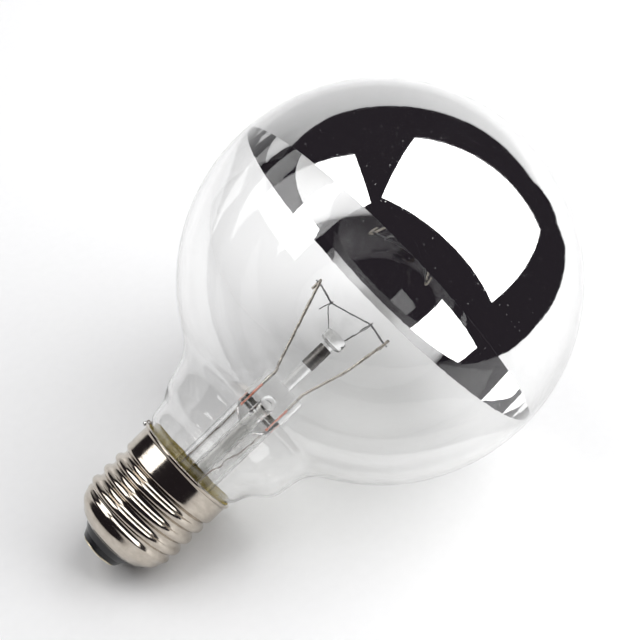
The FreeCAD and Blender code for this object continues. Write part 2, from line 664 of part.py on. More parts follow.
def stem_glass():
    """Flare tube with its opened end and the press that seals the wires, in one piece of glass."""
    thickness, fit = value("press_half_thickness"), value("glass_fit")
    foot, wall = value("flare_straight"), value("flare_wall")
    start = value("press_start")
    height = press_top - start
    web = Part.makeBox(2 * spacing, 2 * thickness, height, V(-spacing, -thickness, start))
    ends = [Part.makeCylinder(thickness, height, V(x, 0, start)) for x in (-spacing, spacing)]
    press = web.fuse(ends).removeSplitter()
    brim = [edge for edge in press.Edges if edge.BoundBox.ZMin > press_top - 1e-6]
    press = press.makeFillet(value("press_round"), brim)
    swelling = Part.makeSphere(value("swelling_radius"), V(0, 0, value("exhaust_end")))
    tube = pinched(value("flare_radius"), value("pinch_end"), thickness, foot)
    glass = tube.fuse([press, swelling, opened_end(0)])
    cavity_end = seal_start + value("cavity_margin")
    cavity = pinched(value("flare_radius") - wall, cavity_end, value("cavity_slit"), foot)
    glass = glass.cut(cavity.fuse(opened_end(wall)))
    hole = value("blow_hole_height")
    glass = glass.cut([
        Part.makeCylinder(value("exhaust_radius") + fit, value("exhaust_end") - foot, V(0, 0, foot)),
        Part.makeCylinder(value("exhaust_bore"), hole - foot, V(0, 0, foot)),
        Part.makeSphere(value("blow_hole_radius"), V(0, -value("blow_hole_depth"), hole)),
    ])
    sealed = value("inner_lead_radius") + fit
    for side in (-1, 1):
        glass = glass.cut(seal_wire(side, fit))
        bore = Part.makeCylinder(sealed, press_top - seal_end, V(side * spacing, 0, seal_end))
        glass = glass.cut(bore)
    return glass


in_lamp = Placement(V(), Rotation(V(0, 0, 1), value("mount_turn")))
in_lamp.Base = in_lamp.Rotation.multVec(V(offset, 0, 0))


def cement_ring():
    """Cement poured between cap and neck, with room for the thin wire that comes up through it."""
    gap = value("cement_gap")
    inside, outside = value("tuck_radius") + gap, value("crest_radius") - value("cap_sheet") - gap
    corners = [
        V(inside, 0, value("cement_bottom")),
        V(inside, 0, value("tuck_height")),
        V(value("cement_top_inside"), 0, value("cement_top")),
        V(value("rim_radius") - value("cap_sheet") - 2 * gap, 0, value("cement_top")),
        V(outside, 0, value("cap_top") - value("rim_height") - gap),
        V(outside, 0, value("cement_bottom")),
    ]
    ring = Part.Face(Part.makePolygon(corners + corners[:1])).revolve(V(), V(0, 0, 1), 360)
    return ring.cut(outer_leads["outer_lead_left"].transformed(in_lamp.toMatrix()))


def side_drop():
    """Solder that joins the thin wire to the outside of the cap's rim."""
    radius = value("side_solder_radius")
    across = -offset - value("rim_radius") - value("side_solder_rise") + radius
    drop = Part.makeSphere(radius, V(across, 0, value("cap_top") - value("side_solder_sink") - radius))
    within = value("rim_radius") - 0.5 * value("cap_sheet")
    drop = drop.cut(Part.makeCylinder(within, value("cap_top"), V(-offset, 0, 0)))
    drop = drop.cut(cap_shell.Shape.transformed(in_lamp.inverse().toMatrix()))
    drop = drop.cut(outer_leads["outer_lead_left"])
    return max(drop.Solids, key=lambda solid: solid.Volume)


mount_pieces = [
    made("stem_flare", stem_glass()),
    made("seal_wire_left", seal_wire(-1)),
    made("seal_wire_right", seal_wire(1)),
    made("filament", bent_wire(coil_route, value("filament_radius"), coil_bends)),
    made("side_solder", side_drop()),
]
for wires in (inner_leads, outer_leads, support_wires):
    mount_pieces += [made(label, shape) for label, shape in wires.items()]
fit = value("glass_fit")
sockets = [support_wire(*route, fit) for route in anchor_routes]
mount_pieces += [made("support_rod", rod_blank.Shape.cut(sockets)), exhaust_tube, rod_sleeve]
cap_cement = made("cap_cement", cement_ring())
cap_pieces = [cap_shell, cap_insulator, centre_contact, contact_solder, cap_cement]
lamp_pieces = [globe, mirror_crown] + cap_pieces
doc.recompute()


def lying_angle():
    """Slope of the axis when globe and cap both touch the ground."""
    radius, center = value("globe_radius"), value("globe_center")
    line = doc.getObject("cap_shell_line").Shape
    slopes = []
    for point in line.discretize(400):
        along, across = center - point.z, point.x
        reach = math.hypot(along, across)
        slopes.append(math.degrees(math.asin(radius / reach) - math.atan2(across, along)))
    return min(slopes)


# The lamp lies with its axis over +X, crown up, with the middle of its outline over the origin.
slope = lying_angle()
lying = Placement(V(), Rotation(V(0, 1, 0), 90 - slope))
outside = Part.Compound([piece.Shape for piece in (globe, cap_shell, centre_contact)])
box = outside.transformed(lying.toMatrix()).optimalBoundingBox(False, False)
lying.Base = V(-(box.XMin + box.XMax) / 2, 0, -box.ZMin)
for piece in lamp_pieces:
    piece.Placement = lying
mirror_crown.Placement = lying.multiply(Placement(wall_shift, Rotation()))
for piece in mount_pieces:
    piece.Placement = lying.multiply(in_lamp)
doc.recompute()

for item in doc.Objects:
    if "Invalid" in item.State or "Error" in item.State:
        raise RuntimeError(f"{item.Label} failed: {item.State}")
os.makedirs("parts", exist_ok=True)
for piece in lamp_pieces + mount_pieces:
    shape = piece.Shape
    if shape.isNull() or not shape.isValid() or len(shape.Solids) != 1:
        raise RuntimeError(f"{piece.Label} is not one valid solid")
    shape.exportStep(f"parts/{piece.Label}.step")
    print(f"{piece.Label}: {shape.Volume:.1f} cubic mm")
print(f"axis slope {slope:.3f} degrees, solder tip at {lying.Base.x:.3f}, {lying.Base.z:.3f} mm")
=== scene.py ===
import math

import bpy
from mathutils import Matrix, Vector


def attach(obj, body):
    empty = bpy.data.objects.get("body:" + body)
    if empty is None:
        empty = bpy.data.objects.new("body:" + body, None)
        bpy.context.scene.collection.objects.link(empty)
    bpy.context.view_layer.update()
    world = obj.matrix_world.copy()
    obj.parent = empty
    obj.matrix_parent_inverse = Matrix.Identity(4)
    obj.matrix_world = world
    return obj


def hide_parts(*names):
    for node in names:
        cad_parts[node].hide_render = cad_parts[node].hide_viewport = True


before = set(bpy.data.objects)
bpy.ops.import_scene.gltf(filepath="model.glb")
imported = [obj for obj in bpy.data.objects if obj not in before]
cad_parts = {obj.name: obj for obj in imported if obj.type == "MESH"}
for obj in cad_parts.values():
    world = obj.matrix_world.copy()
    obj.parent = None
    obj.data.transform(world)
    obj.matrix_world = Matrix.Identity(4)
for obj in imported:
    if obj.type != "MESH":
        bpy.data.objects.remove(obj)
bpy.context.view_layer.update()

# Flare and press: the glass stem that carries the mount. A lead-glass tube is opened to a skirt at
# its lower end, where it is melted to the bulb's neck, and squeezed flat round the wires at its top.
MM = 0.001
slope = math.radians(26.283)
lamp_base = (-0.063594, 0, 0.007427)
lamp_place = Matrix.Translation(lamp_base) @ Matrix.Rotation(math.pi / 2 - slope, 4, "Y")


def lamp_frame():
    """Node group: position in metres in the lamp's own frame, also unrolled to angle and height."""
    group = bpy.data.node_groups.new("lamp frame", "ShaderNodeTree")
    group.interface.new_socket("Position", in_out="OUTPUT", socket_type="NodeSocketVector")
    group.interface.new_socket("Unrolled", in_out="OUTPUT", socket_type="NodeSocketVector")
    nodes, links = group.nodes, group.links
    where = nodes.new("ShaderNodeTexCoord")
    turn = nodes.new("ShaderNodeMapping")
    turn.vector_type = "TEXTURE"
    turn.inputs["Location"].default_value = lamp_base
    turn.inputs["Rotation"].default_value = (0, math.pi / 2 - slope, 0)
    parts = nodes.new("ShaderNodeSeparateXYZ")
    angle = nodes.new("ShaderNodeMath")
    angle.operation = "ARCTAN2"
    unrolled = nodes.new("ShaderNodeCombineXYZ")
    result = nodes.new("NodeGroupOutput")
    links.new(where.outputs["Object"], turn.inputs["Vector"])
    links.new(turn.outputs["Vector"], parts.inputs["Vector"])
    links.new(parts.outputs["Y"], angle.inputs[0])
    links.new(parts.outputs["X"], angle.inputs[1])
    links.new(angle.outputs["Value"], unrolled.inputs["X"])
    links.new(parts.outputs["Z"], unrolled.inputs["Y"])
    links.new(turn.outputs["Vector"], result.inputs["Position"])
    links.new(unrolled.outputs["Vector"], result.inputs["Unrolled"])
    return group


def surface_wear():
    """Node group: uneven mask and a normal from two sizes of noise, stretched by the given scale."""
    fine_share = 0.4
    relief_height = 0.2 * MM
    group = bpy.data.node_groups.new("surface wear", "ShaderNodeTree")
    group.interface.new_socket("Vector", in_out="INPUT", socket_type="NodeSocketVector")
    group.interface.new_socket("Stretch", in_out="INPUT", socket_type="NodeSocketVector")
    group.interface.new_socket("Relief", in_out="INPUT", socket_type="NodeSocketFloat")
    group.interface.new_socket("Mask", in_out="OUTPUT", socket_type="NodeSocketFloat")
    group.interface.new_socket("Normal", in_out="OUTPUT", socket_type="NodeSocketVector")
    nodes, links = group.nodes, group.links
    given, result = nodes.new("NodeGroupInput"), nodes.new("NodeGroupOutput")
    stretch = nodes.new("ShaderNodeVectorMath")
    stretch.operation = "MULTIPLY"
    coarse, fine = nodes.new("ShaderNodeTexNoise"), nodes.new("ShaderNodeTexNoise")
    for noise, scale, detail in ((coarse, 1.0, 3.0), (fine, 9.0, 2.0)):
        noise.inputs["Scale"].default_value = scale
        noise.inputs["Detail"].default_value = detail
        links.new(stretch.outputs["Vector"], noise.inputs["Vector"])
    both = nodes.new("ShaderNodeMix")
    both.inputs["Factor"].default_value = fine_share
    bump = nodes.new("ShaderNodeBump")
    bump.inputs["Distance"].default_value = relief_height
    links.new(given.outputs["Vector"], stretch.inputs[0])
    links.new(given.outputs["Stretch"], stretch.inputs[1])
    links.new(coarse.outputs["Fac"], both.inputs["A"])
    links.new(fine.outputs["Fac"], both.inputs["B"])
    links.new(both.outputs["Result"], result.inputs["Mask"])
    links.new(both.outputs["Result"], bump.inputs["Height"])
    links.new(given.outputs["Relief"], bump.inputs["Strength"])
    links.new(bump.outputs["Normal"], result.inputs["Normal"])
    return group


lamp_frame_group, wear_group = lamp_frame(), surface_wear()


def worn_material(name, base, tone, metal, rough, stretch, relief, along="Position"):
    """Opaque material whose colour goes between base and tone and whose roughness spans a range."""
    material = bpy.data.materials.new(name)
    material.use_nodes = True
    nodes, links = material.node_tree.nodes, material.node_tree.links
    place, wear = nodes.new("ShaderNodeGroup"), nodes.new("ShaderNodeGroup")
    place.node_tree, wear.node_tree = lamp_frame_group, wear_group
    wear.inputs["Stretch"].default_value = stretch
    wear.inputs["Relief"].default_value = relief
    links.new(place.outputs[along], wear.inputs["Vector"])
    ramp = nodes.new("ShaderNodeValToRGB")
    ramp.color_ramp.elements[0].position, ramp.color_ramp.elements[0].color = 0.35, (*base, 1)
    ramp.color_ramp.elements[1].position, ramp.color_ramp.elements[1].color = 0.68, (*tone, 1)
    spread = nodes.new("ShaderNodeMapRange")
    spread.inputs["From Min"].default_value, spread.inputs["From Max"].default_value = 0.35, 0.65
    spread.inputs["To Min"].default_value, spread.inputs["To Max"].default_value = rough
    shader = nodes["Principled BSDF"]
    shader.inputs["Metallic"].default_value = metal
    links.new(wear.outputs["Mask"], ramp.inputs["Fac"])
    links.new(wear.outputs["Mask"], spread.inputs["Value"])
    links.new(ramp.outputs["Color"], shader.inputs["Base Color"])
    links.new(spread.outputs["Result"], shader.inputs["Roughness"])
    links.new(wear.outputs["Normal"], shader.inputs["Normal"])
    return material


def lamp_glass(name, tint, stretch, relief, shade):
    """Clear glass with a faint wave from working it hot. Its shadow is light and even, and what is
    seen through more than seven faces of glass isn't bent any further."""
    material = bpy.data.materials.new(name)
    material.use_nodes = True
    nodes, links = material.node_tree.nodes, material.node_tree.links
    place, wear = nodes.new("ShaderNodeGroup"), nodes.new("ShaderNodeGroup")
    place.node_tree, wear.node_tree = lamp_frame_group, wear_group
    wear.inputs["Stretch"].default_value = stretch
    wear.inputs["Relief"].default_value = relief
    links.new(place.outputs["Position"], wear.inputs["Vector"])
    spread = nodes.new("ShaderNodeMapRange")
    spread.inputs["From Min"].default_value, spread.inputs["From Max"].default_value = 0.45, 0.75
    spread.inputs["To Min"].default_value, spread.inputs["To Max"].default_value = 0.0, 0.03
    glass = nodes["Principled BSDF"]
    glass.inputs["Base Color"].default_value = tint
    glass.inputs["Transmission Weight"].default_value = 1.0
    glass.inputs["IOR"].default_value = 1.52
    links.new(wear.outputs["Mask"], spread.inputs["Value"])
    links.new(spread.outputs["Result"], glass.inputs["Roughness"])
    links.new(wear.outputs["Normal"], glass.inputs["Normal"])
    path = nodes.new("ShaderNodeLightPath")
    clear = nodes.new("ShaderNodeBsdfTransparent")
    clear.inputs["Color"].default_value = shade
    deep, either = nodes.new("ShaderNodeMath"), nodes.new("ShaderNodeMath")
    deep.operation, either.operation = "GREATER_THAN", "MAXIMUM"
    deep.inputs[1].default_value = 7 + 0.5
    links.new(path.outputs["Transmission Depth"], deep.inputs[0])
    links.new(path.outputs["Is Shadow Ray"], either.inputs[0])
    links.new(deep.outputs[0], either.inputs[1])
    mix = nodes.new("ShaderNodeMixShader")
    links.new(either.outputs[0], mix.inputs[0])
    links.new(glass.outputs[0], mix.inputs[1])
    links.new(clear.outputs[0], mix.inputs[2])
    links.new(mix.outputs[0], nodes["Material Output"].inputs["Surface"])
    return material


def finish_node(node, material):
    """Gives a piece of the frame its material."""
    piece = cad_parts[node]
    piece.data.materials.clear()
    piece.data.materials.append(material)


stem_material = lamp_glass("stem glass", (0.99, 0.99, 0.985, 1), (260, 260, 60), 0.25,
                           (0.96, 0.96, 0.955, 1))
finish_node("stem_flare", stem_material)

# Exhaust tube: thin tube through which the bulb was emptied and filled, melted into the press at
# its top and drawn off and sealed at its lower end. Drawn lead glass, like the flare.
finish_node("exhaust_tube", stem_material)

# Sealed wires: copper-clad nickel-iron, whose red oxide bonds to the glass of the press. Each is
# welded between a lead above and a thin wire below.
seal_material = worn_material("oxidised copper cladding", (0.42, 0.09, 0.045), (0.66, 0.2, 0.1), 0.35,
                              (0.35, 0.55), (1800, 1800, 500), 0.4)
for node in ("seal_wire_left", "seal_wire_right"):
    finish_node(node, seal_material)

# Leads: drawn nickel wire that stands in the press and carries the current up to the coil. Each
# is bent outwards, and its end is folded back and pinched over the coil.
lead_material = worn_material("drawn nickel", (0.62, 0.58, 0.52), (0.36, 0.32, 0.28), 1.0,
                              (0.18, 0.36), (900, 900, 160), 0.35)
for node in ("inner_lead_left", "inner_lead_right"):
    finish_node(node, lead_material)

# Thin wires: tinned copper, from the sealed wires down to the cap's rim and to the centre contact.
# They darkened and kinked when the flare was worked.
thin_material = worn_material("tinned wire", (0.34, 0.3, 0.27), (0.16, 0.13, 0.12), 1.0,
                              (0.3, 0.5), (1500, 1500, 400), 0.4)
for node in ("outer_lead_left", "outer_lead_right"):
    finish_node(node, thin_material)

# Glass rod with its button: drawn rod melted onto the press, its end pushed up to a thick disc
# while hot so that the support wires could be stuck in.
finish_node("support_rod", stem_material)

# Sleeve: dark nickel foil, rolled round the rod under its button and held there by its own
# spring.
sleeve_material = worn_material("dark nickel sleeve", (0.11, 0.105, 0.1), (0.2, 0.19, 0.18), 1.0,
                                (0.3, 0.45), (700, 700, 2600), 0.5)
finish_node("rod_sleeve", sleeve_material)

# Support wires: drawn molybdenum, stuck in the button while it was soft and hooked round the
# coil, which they pull to one side.
support_material = worn_material("molybdenum", (0.3, 0.3, 0.3), (0.15, 0.15, 0.15), 1.0,
                                 (0.25, 0.4), (1600, 1600, 600), 0.3)
for node in ("anchor_left", "anchor_right"):
    finish_node(node, support_material)

# Filament: tungsten wire wound to a close coil half a millimetre thick, held by the folded ends of
# the leads and drawn to the far side by the two supports.
press_top = 57.7
mount_turn, mount_offset = math.radians(-54.5), 2.6 * MM
mount_place = lamp_place @ Matrix.Rotation(mount_turn, 4, "Z") @ Matrix.Translation((mount_offset, 0, 0))
coil_radius, turn_spacing, wire_radius = 0.2 * MM, 0.16 * MM, 0.045 * MM
coil_depth = 0.63
coil_points = [
    (-13.2, coil_depth, 22.6), (-12.4, coil_depth, 22.6), (-11.5, coil_depth, 22.6), (-9.2, 2.4, 22.25),
    (-6.8, 4.5, 21.8), (-1.6, 4.5, 23.45), (3.6, 4.5, 25.1), (6.0, 2.5, 24.45), (8.2, coil_depth, 23.8),
    (9.1, coil_depth, 23.8), (9.9, coil_depth, 23.8),
]
coil_line = bpy.data.curves.new("coil line", "CURVE")
coil_line.dimensions = "3D"
run = coil_line.splines.new("POLY")
run.points.add(len(coil_points) - 1)
for point, (across, depth, up) in zip(run.points, coil_points):
    point.co = (*(mount_place @ (Vector((across, depth, press_top + up)) * MM)), 1)
coil_path = bpy.data.objects.new("coil line", coil_line)
bpy.context.scene.collection.objects.link(coil_path)


def coil_winder(metal):
    """Geometry nodes: winds a round wire about the given curve."""
    tree = bpy.data.node_groups.new("coil winder", "GeometryNodeTree")
    sockets = tree.interface
    sockets.new_socket("Geometry", in_out="INPUT", socket_type="NodeSocketGeometry")
    sizes = {"Coil Radius": coil_radius, "Turn Spacing": turn_spacing, "Wire Radius": wire_radius}
    for name, size in sizes.items():
        sockets.new_socket(name, in_out="INPUT", socket_type="NodeSocketFloat").default_value = size
    sockets.new_socket("Geometry", in_out="OUTPUT", socket_type="NodeSocketGeometry")
    nodes, links = tree.nodes, tree.links
    given, result = nodes.new("NodeGroupInput"), nodes.new("NodeGroupOutput")

    def math_node(operation, first, second):
        node = nodes.new("ShaderNodeMath")
        node.operation = operation
        for slot, source in enumerate((first, second)):
            if isinstance(source, (int, float)):
                node.inputs[slot].default_value = source
            else:
                links.new(source, node.inputs[slot])
        return node.outputs[0]

    def scaled(vector, factor):
        node = nodes.new("ShaderNodeVectorMath")
        node.operation = "SCALE"
        links.new(vector, node.inputs[0])
        links.new(factor, node.inputs["Scale"])
        return node.outputs["Vector"]

    divide = nodes.new("GeometryNodeResampleCurve")
    divide.mode = "LENGTH"
    links.new(given.outputs["Geometry"], divide.inputs["Curve"])
    links.new(math_node("DIVIDE", given.outputs["Turn Spacing"], 10), divide.inputs["Length"])
    along = nodes.new("GeometryNodeSplineParameter")
    turns = math_node("DIVIDE", along.outputs["Length"], given.outputs["Turn Spacing"])
    angle = math_node("MULTIPLY", turns, 2 * math.pi)
    tangent, normal = nodes.new("GeometryNodeInputTangent"), nodes.new("GeometryNodeInputNormal")
    across = nodes.new("ShaderNodeVectorMath")
    across.operation = "CROSS_PRODUCT"
    links.new(tangent.outputs[0], across.inputs[0])
    links.new(normal.outputs[0], across.inputs[1])
    cosine = math_node("MULTIPLY", math_node("COSINE", angle, 0), given.outputs["Coil Radius"])
    sine = math_node("MULTIPLY", math_node("SINE", angle, 0), given.outputs["Coil Radius"])
    offset = nodes.new("ShaderNodeVectorMath")
    links.new(scaled(normal.outputs[0], cosine), offset.inputs[0])
    links.new(scaled(across.outputs["Vector"], sine), offset.inputs[1])
    wound = nodes.new("GeometryNodeSetPosition")
    links.new(divide.outputs["Curve"], wound.inputs["Geometry"])
    links.new(offset.outputs["Vector"], wound.inputs["Offset"])
    ring = nodes.new("GeometryNodeCurvePrimitiveCircle")
    ring.inputs["Resolution"].default_value = 6
    links.new(given.outputs["Wire Radius"], ring.inputs["Radius"])
    wire = nodes.new("GeometryNodeCurveToMesh")
    wire.inputs["Fill Caps"].default_value = True
    links.new(wound.outputs["Geometry"], wire.inputs["Curve"])
    links.new(ring.outputs["Curve"], wire.inputs["Profile Curve"])
    real = nodes.new("GeometryNodeRealizeInstances")
    links.new(wire.outputs["Mesh"], real.inputs["Geometry"])
    dressed = nodes.new("GeometryNodeSetMaterial")
    dressed.inputs["Material"].default_value = metal
    links.new(real.outputs["Geometry"], dressed.inputs["Geometry"])
    links.new(dressed.outputs["Geometry"], result.inputs["Geometry"])
    return tree


coil_material = worn_material("tungsten", (0.16, 0.16, 0.165), (0.3, 0.3, 0.31), 1.0,
                              (0.3, 0.42), (1200, 1200, 1200), 0.2)
winding = coil_path.modifiers.new("winding", "NODES")
winding.node_group = coil_winder(coil_material)
for socket in winding.node_group.interface.items_tree:
    if socket.in_out == "INPUT" and socket.socket_type == "NodeSocketFloat":
        winding[socket.identifier] = socket.default_value
bpy.context.view_layer.update()
shown = coil_path.evaluated_get(bpy.context.evaluated_depsgraph_get())
coil_mesh = bpy.data.meshes.new_from_object(shown)
coil_path.modifiers.remove(winding)
bpy.data.objects.remove(coil_path)
filament = bpy.data.objects.new("filament_coil", coil_mesh)
bpy.context.scene.collection.objects.link(filament)
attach(filament, "root")
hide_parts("filament")

# Glass globe: soda-lime glass, blown in one piece with its stepped neck; the neck's lower edge is
# melted to the flare inside the cap. The wall is about half a millimetre, with a faint blown wave,
# and the neck leans a little off the axis.
globe_radius, globe_center, glass_wall = 47.5, 90.5, 0.6
neck_end = 18.0


def rounded_line(corners, steps=10):
    """Points along straight runs, each inner corner (across, up, radius) rounded by an arc."""
    points = [Vector(corners[0][:2])]
    for before, corner, after in zip(corners, corners[1:], corners[2:]):
        here, radius = Vector(corner[:2]), corner[2] if len(corner) > 2 else 0
        into, out = (here - Vector(before[:2])).normalized(), (Vector(after[:2]) - here).normalized()
        turn = into.angle(out)
        if radius == 0 or turn < 1e-4:
            points.append(here)
            continue
        center = here + (out - into).normalized() * radius / math.cos(turn / 2)
        start = here - into * radius * math.tan(turn / 2) - center
        side = 1 if into.x * out.y - into.y * out.x > 0 else -1
        points += [center + Matrix.Rotation(side * turn * k / steps, 2) @ start for k in range(steps + 1)]
    points.append(Vector(corners[-1][:2]))
    return points


def turned_mesh(name, line, around=192):
    """Mesh turned from a closed line of (across, up) in millimetres about the lamp's axis."""
    rows, verts, faces = [], [], []
    for across, up in line:
        if across < 1e-6:
            rows.append([len(verts)] * around)
            verts.append((0, 0, up * MM))
            continue
        rows.append(list(range(len(verts), len(verts) + around)))
        for k in range(around):
            angle = 2 * math.pi * k / around
            verts.append((across * MM * math.cos(angle), across * MM * math.sin(angle), up * MM))
    for low, high in zip(rows, rows[1:]):
        for k in range(around):
            ring = [low[k], low[k - 1], high[k - 1], high[k]]
            ring = [v for i, v in enumerate(ring) if v not in ring[:i]]
            if len(ring) > 2:
                faces.append(ring)
    mesh = bpy.data.meshes.new(name)
    mesh.from_pydata(verts, [], faces)
    mesh.transform(lamp_place)
    mesh.shade_smooth()
    mesh.set_sharp_from_angle(angle=math.radians(40))
    piece = bpy.data.objects.new(name, mesh)
    bpy.context.scene.collection.objects.link(piece)
    return piece


# Outline of the outside: the ball down to where the hollow curve of the neck touches it, that
# curve, then the step and the narrow edge that sits in the cap. The inside runs parallel to it.
hollow_radius = 9.0
neck_top, step_top = Vector((20.4, 47.61)), Vector((18.1, 38.0))
down_neck = (step_top - neck_top).normalized()
outward = Vector((-down_neck.y, down_neck.x))
to_hollow = neck_top + outward * hollow_radius - Vector((0, globe_center))
along_neck = to_hollow.dot(down_neck)
reach = math.sqrt(along_neck ** 2 - to_hollow.length_squared + (globe_radius + hollow_radius) ** 2)
shift = min(-along_neck - reach, -along_neck + reach, key=abs)
hollow = neck_top + outward * hollow_radius + down_neck * shift
last_angle = math.atan2(hollow.x, hollow.y - globe_center)
first_ray = (Vector((0, globe_center)) - hollow).normalized()
hollow_turn = first_ray.angle(-outward)
ball_steps, hollow_steps = 120, 16
outer = []
for k in range(ball_steps + 1):
    angle = last_angle * k / ball_steps
    outer.append(Vector((math.sin(angle), math.cos(angle))) * globe_radius + Vector((0, globe_center)))
for k in range(1, hollow_steps + 1):
    outer.append(hollow + Matrix.Rotation(hollow_turn * k / hollow_steps, 2) @ first_ray * hollow_radius)
outer += rounded_line([
    tuple(outer[-1]), (*step_top, 7.0), (14.9, 34.4, 7.0), (14.0, 31.0, 3.0), (11.3, 27.0, 2.0),
    (11.3, neck_end),
])[1:]
inner = []
for k, point in enumerate(outer):
    ahead = outer[min(k + 1, len(outer) - 1)] - outer[max(k - 1, 0)]
    inner.append(point + Vector((ahead.y, -ahead.x)).normalized() * glass_wall)
inner[0] = Vector((0, globe_center + globe_radius - glass_wall))
inner[-1].y = neck_end
globe = turned_mesh("globe", outer + inner[::-1], around=256)
to_lamp = lamp_place.inverted()
lean = Vector((0.2586, -0.8139, -0.5206)) * 1.2 * MM
lean_start, lean_full, lean_end = 31.5, 38.0, 54.0
for vertex in globe.data.vertices:
    up = (to_lamp @ vertex.co).z / MM
    rise = min(max((up - lean_start) / (lean_full - lean_start), 0), 1)
    fall = min(max((lean_end - up) / (lean_end - lean_full), 0), 1)
    vertex.co += lean * (rise * fall) ** 2 * (3 - 2 * rise * fall)
globe.data.materials.append(lamp_glass("blown glass", (0.995, 0.995, 0.993, 1), (45, 45, 45), 0.12,
                                       (0.94, 0.94, 0.935, 1)))
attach(globe, "root")
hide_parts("globe")

# Silvering: a film of metal, vapour-deposited on the inside of the crown half. It ends in a sharp
# rim just above the ball's middle and mirrors on both sides. Small rough specks lie in it.
film_out, film_in, film_start, film_steps = 46.85, 46.83, 1.5, 90


def film_line(radius):
    """Points from the crown's top down to the rim of the film, on a ball of the given radius."""
    last = math.acos(film_start / radius)
    angles = [last * k / film_steps for k in range(film_steps + 1)]
    return [(radius * math.sin(angle), globe_center + radius * math.cos(angle)) for angle in angles]


mirror = turned_mesh("mirror_film", film_line(film_out) + film_line(film_in)[::-1], around=256)
silvering = worn_material("silvering", (0.87, 0.87, 0.87), (0.81, 0.81, 0.81), 1.0,
                          (0.0, 0.015), (60, 60, 60), 0.0)
nodes, links = silvering.node_tree.nodes, silvering.node_tree.links
specks, speck_size = nodes.new("ShaderNodeTexVoronoi"), nodes.new("ShaderNodeMapRange")
specks.inputs["Scale"].default_value = 700
speck_size.inputs["From Min"].default_value = 0.11
speck_size.inputs["From Max"].default_value = 0.03
speck_size.inputs["To Max"].default_value = 0.3
coat = nodes["Principled BSDF"]
rougher = nodes.new("ShaderNodeMath")
rougher.operation = "MAXIMUM"
links.new(nodes["Group"].outputs["Position"], specks.inputs["Vector"])
links.new(specks.outputs["Distance"], speck_size.inputs["Value"])
links.new(speck_size.outputs["Result"], rougher.inputs[0])
links.new(coat.inputs["Roughness"].links[0].from_socket, rougher.inputs[1])
links.new(rougher.outputs[0], coat.inputs["Roughness"])
mirror.data.materials.append(silvering)
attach(mirror, "root")
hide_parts("mirror_crown")

# Screw cap: drawn from brass sheet and nickel-plated. The round right-hand thread is rolled in, a
# plain band is left above it, and the rim is turned out so that the cement can be filled in.
cap_top, sheet = 29.0, 0.3
crest, root, pitch = 13.15, 12.15, 3.63
knuckle = ((pitch / 2) ** 2 + (crest - root) ** 2) / (4 * (crest - root))
first_crest = cap_top - 6.0
thread_end, thread_full = 9.2, 11.0
runout_start, runout_end = first_crest - 1.2, first_crest + 0.9


def smooth_step(low, high, x):
    t = min(max((x - low) / (high - low), 0), 1)
    return t * t * (3 - 2 * t)


def thread_depth(up, angle):
    """How far the rolled thread lies inside the crests, at a height and an angle."""
    along = (first_crest - up + pitch * (0.5 + angle / (2 * math.pi))) % pitch
    along = min(along, pitch - along)
    if along < pitch / 4:
        depth = knuckle - math.sqrt(knuckle ** 2 - along ** 2)
    else:
        rest = pitch / 2 - along
        depth = (crest - root) - (knuckle - math.sqrt(knuckle ** 2 - rest ** 2))
    return depth * smooth_step(thread_end, thread_full, up) * (1 - smooth_step(runout_start, runout_end, up))


cap_outline = rounded_line([
    (13.3, cap_top), (13.62, 28.85, 0.12), (13.55, 28.3, 0.35), (crest, 28.0, 0.5),
    (crest, 10.6, 2.0), (12.35, 9.2, 3.0), (11.7, 7.2, 3.0),
    (9.4, 5.1, 2.0), (7.5, 4.2),
], steps=8)
cap_rows = []
row_height = 0.14
for start, end in zip(cap_outline, cap_outline[1:]):
    steps = max(1, round((end - start).length / row_height))
    cap_rows += [start.lerp(end, k / steps) for k in range(steps)]
cap_rows.append(cap_outline[-1])
around, rows = 240, len(cap_rows)
bottom_height, bottom_lift = 6.0, 0.2
verts, faces = [], []
for shrink in (0.0, sheet):
    for across, up in cap_rows:
        for k in range(around):
            angle = 2 * math.pi * k / around
            radius = (across - thread_depth(up, angle) - shrink) * MM
            lift = bottom_lift if shrink and up < bottom_height else 0
            verts.append((radius * math.cos(angle), radius * math.sin(angle), (up + lift) * MM))
for k in range(around):
    j = (k + 1) % around
    for wall in (0, 1):
        for row in range(rows - 1):
            base = (wall * rows + row) * around
            ring = (base + k, base + around + k, base + around + j, base + j)
            faces.append(ring if wall == 0 else ring[::-1])
    for row, turned in ((0, True), (rows - 1, False)):
        ring = (row * around + k, (rows + row) * around + k, (rows + row) * around + j, row * around + j)
        faces.append(ring[::-1] if turned else ring)
cap_mesh = bpy.data.meshes.new("screw cap")
cap_mesh.from_pydata(verts, [], faces)
cap_mesh.transform(lamp_place)
cap_mesh.shade_smooth()
cap = bpy.data.objects.new("screw_cap", cap_mesh)
bpy.context.scene.collection.objects.link(cap)
cap_mesh.materials.append(worn_material("nickel plate", (0.62, 0.565, 0.495), (0.44, 0.39, 0.33), 1.0,
                                        (0.07, 0.17), (5, 900, 1), 0.12, along="Unrolled"))
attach(cap, "root")
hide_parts("cap_shell")

# Insulator: black glass melted into the cap's bottom, with a narrow waist that holds the contact.
insulator_material = worn_material("black glass", (0.004, 0.004, 0.006), (0.012, 0.012, 0.015), 0.0,
                                   (0.05, 0.16), (420, 420, 420), 0.3)
insulator_material.node_tree.nodes["Principled BSDF"].inputs["Specular IOR Level"].default_value = 0.3
finish_node("cap_insulator", insulator_material)

# Contact plate: round plate of plated brass, pressed into the insulator while the glass was soft.
# Its hole lets the right thin wire through.
contact_material = worn_material("contact brass", (0.78, 0.7, 0.52), (0.58, 0.5, 0.36), 1.0,
                                 (0.2, 0.38), (800, 800, 800), 0.3)
finish_node("centre_contact", contact_material)

